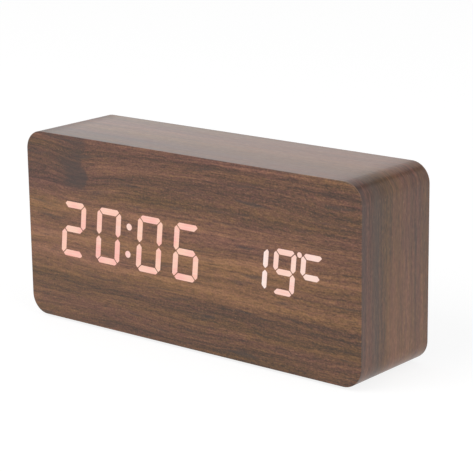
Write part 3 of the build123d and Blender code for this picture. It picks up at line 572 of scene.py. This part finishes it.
def ribbon():
    """Flat grey cable: ribs for its wires, and a red mark along its first wire."""
    low, high = [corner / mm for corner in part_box("ribbon_cable")]
    pitch = (high.x - low.x) / 8
    finish = Finish("ribbon")
    x, y, z = finish.place()
    groove = 1.0 - (x - low.x - pitch / 2).from_lines(pitch).rise(0.05, 0.35)
    scuff = finish.noise(x * 1.5, y * 1.5, z * 1.5, detail=3.0)
    grey = finish.mix(scuff * 1.5 + 0.5, (0.21, 0.21, 0.22), (0.34, 0.34, 0.35))
    marked = finish.mix(x < low.x + pitch, grey, (0.36, 0.03, 0.025))
    finish.bump(groove * -1.0, 0.25)
    # Painted shade darkens the grooves between the ribs.
    groove_shaded = finish.mix(groove * 0.5, marked, (0.09, 0.09, 0.09))
    return finish.shade(Base_Color=groove_shaded, Roughness=0.5 + scuff * 0.3)


def capacitor_skin():
    """A dark sleeve with one pale stripe, open at the free end to the bare can."""
    low, high = [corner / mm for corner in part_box("capacitor")]
    middle_x, middle_z = (low.x + high.x) / 2, (low.z + high.z) / 2
    radius = (high.x - low.x) / 2
    finish = Finish("capacitor_skin")
    x, y, z = finish.place()
    off_x, off_z = x - middle_x, z - middle_z
    bare = (y < low.y + 0.3) * (off_x * off_x + off_z * off_z < (0.8 * radius) * (0.8 * radius))
    stripe = off_x.rise(0.72 * radius, 0.76 * radius)
    scuff = finish.noise(x * 2.0, y * 2.0, z * 2.0, detail=3.0)
    sleeve = finish.mix(scuff * 1.5 + 0.5, (0.008, 0.010, 0.030), (0.016, 0.020, 0.055))
    sleeve = finish.mix(stripe, sleeve, (0.42, 0.44, 0.48))
    finish.bump(scuff, 0.02)
    color = finish.mix(bare, sleeve, (0.70, 0.70, 0.71))
    return finish.shade(Base_Color=color, Metallic=bare, Roughness=0.32 + scuff * 0.3)


# Metals

nickel_tarnish = (0.40, 0.37, 0.33)
steel_tarnish = (0.20, 0.18, 0.16)


def drawn_metal(name, color, roughness, tarnish_color):
    """Bright metal with fine draw lines, faint scratches and a little tarnish."""
    finish = Finish(name, Metallic=1.0)
    x, y, z = finish.place()
    line = finish.noise(x * 0.5, y * 6.0, z * 6.0, detail=3.0, roughness=0.6)
    scratch = finish.noise(x * 7.0, y * 0.8, z * 1.6, detail=2.0).rise(0.18, 0.26)
    tarnish = finish.noise(x * 0.5, y * 0.5, z * 0.5, detail=4.0, roughness=0.65)
    darker, lighter = shades(color, 0.12)
    bright = finish.mix(line * 2.0 + 0.5, darker, lighter)
    finish.bump(line - scratch * 0.5, 0.008)
    worn = roughness + line * 0.25 + scratch * 0.15 + tarnish * 0.3
    dulled = finish.mix(tarnish.rise(0.0, 0.3) * 0.6, bright, tarnish_color)
    return finish.shade(Base_Color=dulled, Roughness=worn)


def dress(slot, material):
    """Give a material to every node of the record that has this slot."""
    for part in frame["record"]["subparts"]:
        if part["material_slot"] == slot:
            wear(part["node"], material)


def wear(node_name, material):
    """Give a material to one node."""
    materials = frame["nodes"][node_name].data.materials
    materials.clear()
    materials.append(material)


# Battery cells: a jacket whose ends turn in over the can, a stepped nub and a raised base

cell_radius, cell_length = 5.25, 44.5
nub_length, nub_radius = 0.8, 1.9
jacket_wall, jacket_round = 0.75, 0.5
base_rise_radius = 3.1
can_play = 0.12
washer_drop, washer_thickness = 0.35, 0.45
silver_length = 12.0
ring_gap, ring_width = 0.4, 0.5
cell_steps = 48


def cell_places():
    """The tip of each cell's nub, and which way it points along X."""
    low, high = [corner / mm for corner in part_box("battery_cells")]
    middle_y = (low.y + high.y) / 2
    levels = [low.z + cell_radius, (low.z + high.z) / 2, high.z - cell_radius]
    return [(Vector((high.x, middle_y, levels[0])), 1), (Vector((low.x, middle_y, levels[1])), -1),
            (Vector((high.x, middle_y, levels[2])), 1)]


def turn_on_cell(shape, tip, way, outline, closed):
    """Spin an outline round a cell. Each point is a distance from the nub's tip and a radius."""
    points = [shape.verts.new((tip + Vector((-way * back, 0, radius))) * mm) for back, radius in outline]
    ends = points[1:] + points[:1] if closed else points[1:]
    lines = [shape.edges.new(pair) for pair in zip(points, ends)]
    bmesh.ops.spin(
        shape, geom=points + lines, cent=tip * mm, axis=(1, 0, 0), dvec=(0, 0, 0), angle=2 * pi,
        steps=cell_steps, use_merge=True, use_duplicate=False,
    )


def rounded_end(back, way):
    """The turned-in end of a jacket, from its outside to its inside."""
    inner = cell_radius - jacket_wall
    curve = []
    for turn in (90, 60, 30, 0):
        drop = jacket_round * (1 - sin(radians(turn)))
        curve.append((back + way * jacket_round * (1 - cos(radians(turn))), cell_radius - drop))
    return curve + [(back, inner), (back + way * 0.4, inner - 0.1)]


def jacket_skin():
    """Printed film on a cell: dark grey, with a plain silver band next to the nub."""
    low, high = [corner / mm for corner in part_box("battery_cells")]
    finish = Finish("jacket_skin", Coat_Weight=0.5, Coat_Roughness=0.15)
    x, y, z = finish.place()
    turned = abs(z - (low.z + high.z) / 2) < cell_radius
    back = (high.x - x) + (x * 2.0 - (low.x + high.x)) * turned
    ring_start = silver_length + ring_gap
    ring_end = ring_start + ring_width
    silver = 1.0 - back.rise(silver_length, silver_length + 0.15)
    rim = back.rise(ring_start, ring_start + 0.1) * (1.0 - back.rise(ring_end, ring_end + 0.1))
    scuff = finish.noise(x * 0.6, y * 2.0, z * 2.0, detail=3.0)
    grey = finish.mix(scuff * 1.6 + 0.5, (0.020, 0.021, 0.024), (0.040, 0.042, 0.047))
    bright = finish.mix(scuff * 1.6 + 0.5, (0.46, 0.46, 0.47), (0.60, 0.60, 0.61))
    banded = finish.mix(silver.at_least(rim), grey, bright)
    finish.bump(scuff, 0.015)
    return finish.shade(Base_Color=banded, Metallic=silver.at_least(rim) * 0.85, Roughness=0.34 + scuff * 0.3)


def add_cells():
    """Three cells, each of a jacket, a washer and bright ends."""
    can_radius = cell_radius - jacket_wall - can_play
    collar = nub_radius + 0.4
    shoulder, base_depth = nub_length, cell_length - 0.9
    jackets, washers, ends = bmesh.new(), bmesh.new(), bmesh.new()
    for tip, way in cell_places():
        head = rounded_end(shoulder, 1)
        foot = rounded_end(cell_length, -1)
        turn_on_cell(jackets, tip, way, head[::-1] + foot, closed=True)
        washer_top = shoulder + washer_drop
        washer_foot = washer_top + washer_thickness
        washer = [
            (washer_top, collar + 0.1), (washer_top, can_radius),
            (washer_foot, can_radius), (washer_foot, collar + 0.1),
        ]
        turn_on_cell(washers, tip, way, washer, closed=True)
        nub = [
            (0.0, 0.0), (0.0, nub_radius - 0.35), (0.1, nub_radius - 0.1), (0.35, nub_radius),
            (shoulder, nub_radius), (shoulder + 0.2, collar), (shoulder + 0.5, collar), (shoulder + 0.5, 0.0),
        ]
        turn_on_cell(ends, tip, way, nub, closed=False)
        base = [
            (base_depth, 0.0), (base_depth, can_radius), (cell_length - 0.25, can_radius),
            (cell_length - 0.25, base_rise_radius + 0.3), (cell_length, base_rise_radius), (cell_length, 0.0),
        ]
        turn_on_cell(ends, tip, way, base, closed=False)
    nickel = drawn_metal("cell_nickel", (0.62, 0.61, 0.59), 0.24, nickel_tarnish)
    nylon = moulded("washer_nylon", (0.55, 0.54, 0.51), 0.5, pit_size=0.15)
    pieces = [
        add_piece("cell_jackets", jackets, "case", "cell_jacket", jacket_skin(), smooth=True),
        add_piece("cell_washers", washers, "case", "header_nylon", nylon, smooth=True),
        add_piece("cell_ends", ends, "case", "contact_steel", nickel, smooth=True),
    ]
    for piece in pieces:
        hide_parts("battery_cells")


# Materials of the nodes, by their slots

black_abs = (0.013, 0.013, 0.014)
dress("core_board", fibre_board())
dress("circuit_board", circuit_board())
dress("ribbon_grey", ribbon())
dress("capacitor_sleeve", capacitor_skin())
dress("white_film", moulded("diffusing_film", (0.78, 0.77, 0.74), 0.6, pit_size=0.12, relief=0.01))
cover_skin = moulded("black_abs", black_abs, 0.50, pit_size=0.28, relief=0.05, Specular_IOR_Level=0.32)
dress("black_plastic", cover_skin)
dress("clear_resin", moulded("cloudy_resin", (0.74, 0.70, 0.64), 0.12, pit_size=0.8, relief=0.005))
dress("led_body", moulded("lamp_gel", (0.80, 0.66, 0.22), 0.25, pit_size=0.2))
dress("chip_plastic", moulded("chip_plastic", (0.018, 0.018, 0.019), 0.55, pit_size=0.12))
dress("header_nylon", moulded("header_nylon", (0.66, 0.61, 0.50), 0.5, pit_size=0.2))
dress("rubber", moulded("foot_rubber", (0.020, 0.020, 0.021), 0.85, pit_size=0.35, relief=0.04))
dress("button_rubber", moulded("button_rubber", (0.026, 0.026, 0.028), 0.58, pit_size=0.18, relief=0.03))
dress("red_lead", moulded("red_insulation", (0.42, 0.016, 0.012), 0.36, pit_size=0.3))
dress("black_lead", moulded("black_insulation", (0.014, 0.014, 0.014), 0.36, pit_size=0.3))
dress("screw_steel", drawn_metal("blackened_steel", (0.30, 0.30, 0.31), 0.36, steel_tarnish))
dress("crystal_can", drawn_metal("tin_can", (0.66, 0.66, 0.67), 0.26, nickel_tarnish))
dress("socket_steel", drawn_metal("socket_nickel", (0.66, 0.66, 0.66), 0.22, nickel_tarnish))
dress("contact_steel", drawn_metal("contact_nickel", (0.66, 0.65, 0.62), 0.22, nickel_tarnish))
add_cells()
wear("front_veneer", front_walnut())
wear("wrap_veneer", wrap_walnut())
wear("rear_veneer", rear_walnut())
add_lit_time()
add_lit_temperature()


# Stage, light and camera

def add_floor():
    """A pale floor: white where it is seen or mirrored, where it still keeps the clock's shadow."""
    shape = bmesh.new()
    bmesh.ops.create_grid(shape, x_segments=1, y_segments=1, size=20.0)
    mesh = bpy.data.meshes.new("floor")
    shape.to_mesh(mesh)
    shape.free()
    floor = bpy.data.objects.new("floor", mesh)
    bpy.context.scene.collection.objects.link(floor)
    finish = Finish("floor", Roughness=1.0, Specular_IOR_Level=0.0, Emission_Strength=0.83)
    seen = finish.node("LightPath", output="Is Camera Ray")
    for ray in ("Is Glossy Ray", "Is Transmission Ray"):
        seen = seen.at_least(finish.node("LightPath", output=ray))
    shade = finish.mix(seen, (0.80, 0.80, 0.80), (0.24, 0.24, 0.24))
    white = finish.mix(seen, (0.0, 0.0, 0.0), (1.0, 1.0, 1.0))
    mesh.materials.append(finish.shade(Base_Color=shade, Emission_Color=white))


def light_world():
    """A white surround: full white where it is seen or mirrored, and a softer fill for the rest."""
    world = bpy.data.worlds.new("studio")
    bpy.context.scene.world = world
    world.use_nodes = True
    tree = world.node_tree
    surround = tree.nodes["Background"]
    surround.inputs["Color"].default_value = (1.0, 1.0, 1.0, 1.0)
    path = tree.nodes.new("ShaderNodeLightPath")
    seen = path.outputs["Is Camera Ray"]
    for ray in ("Is Glossy Ray", "Is Transmission Ray"):
        either = tree.nodes.new("ShaderNodeMath")
        either.operation = "MAXIMUM"
        tree.links.new(seen, either.inputs[0])
        tree.links.new(path.outputs[ray], either.inputs[1])
        seen = either.outputs[0]
    level = tree.nodes.new("ShaderNodeMapRange")
    tree.links.new(seen, level.inputs["Value"])
    level.inputs["To Min"].default_value = 0.5
    level.inputs["To Max"].default_value = 1.0
    tree.links.new(level.outputs["Result"], surround.inputs["Strength"])


def add_softbox(name, place, size, power):
    """A square soft light that looks at the middle of the clock."""
    lamp = bpy.data.lights.new(name, "AREA")
    lamp.size = size
    lamp.energy = power
    holder = bpy.data.objects.new(name, lamp)
    bpy.context.scene.collection.objects.link(holder)
    aim = Vector((0.0, 0.0, case_middle_z * mm)) - Vector(place)
    holder.location = place
    holder.rotation_mode = "QUATERNION"
    holder.rotation_quaternion = aim.to_track_quat("-Z", "Y")


def add_camera():
    """The photograph's view, found from the edges of the case."""
    azimuth, elevation, roll = radians(39.52), radians(14.70), radians(-0.77)
    lens = bpy.data.cameras.new("camera")
    lens.lens = 142.58
    lens.sensor_width = 36.0
    camera = bpy.data.objects.new("camera", lens)
    bpy.context.scene.collection.objects.link(camera)
    camera.location = Vector((410.455, -488.360, 204.600)) * mm
    back = Quaternion((0, 0, 1), azimuth) @ Quaternion((1, 0, 0), -elevation) @ Vector((0, -1, 0))
    camera.rotation_mode = "QUATERNION"
    camera.rotation_quaternion = (-back).to_track_quat("-Z", "Y") @ Quaternion((0, 0, 1), roll)
    bpy.context.scene.camera = camera


softbox_size = 1.2
key_power, fill_power = 15.0, 13.0
add_floor()
light_world()
add_softbox("key", (-0.5, -1.3, 1.1), softbox_size, key_power)
add_softbox("fill", (1.5, -0.2, 0.2), softbox_size, fill_power)
add_camera()
bpy.context.scene.view_settings.view_transform = "Standard"
